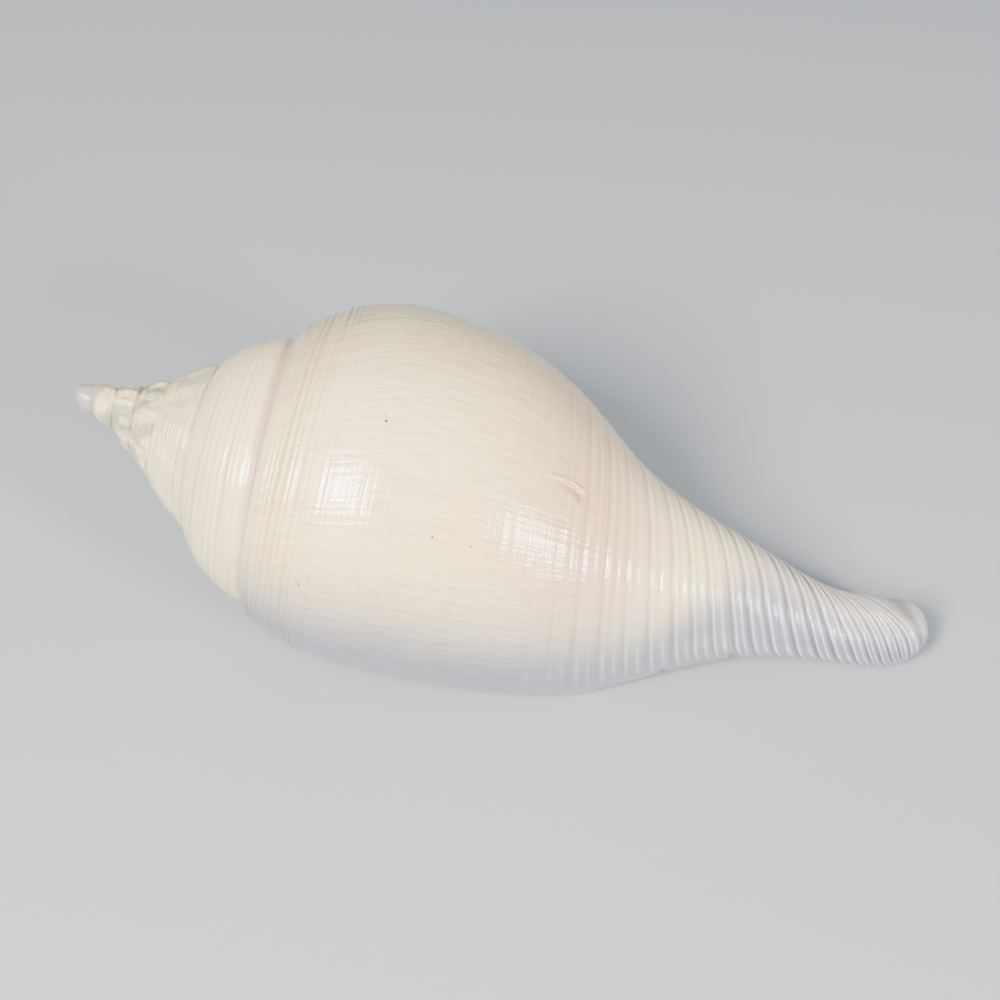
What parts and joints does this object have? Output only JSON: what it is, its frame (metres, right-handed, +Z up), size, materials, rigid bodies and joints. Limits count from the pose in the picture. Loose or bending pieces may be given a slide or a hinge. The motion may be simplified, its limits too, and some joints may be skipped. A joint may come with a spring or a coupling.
{
  "type": "brazilian chank shell",
  "caption": "Spindle-shaped marine snail shell with a low spire, a swollen last whorl and a long canal, lying mouth down.",
  "frame": {"origin": "centre of the bounding box, on the surface that the shell lies on", "axes": "+X from the tip of the spire towards the end of the canal, +Z up, lip side towards -Y"},
  "size_m": [0.1168, 0.0486, 0.0441],
  "materials": {
    "shell": "Glossy pale cream shell, bluish white on the lip edge and lavender white on the canal, with fine spiral cords."
  },
  "bodies": {
    "root": {"shell": "shell"}
  },
  "joints": []
}
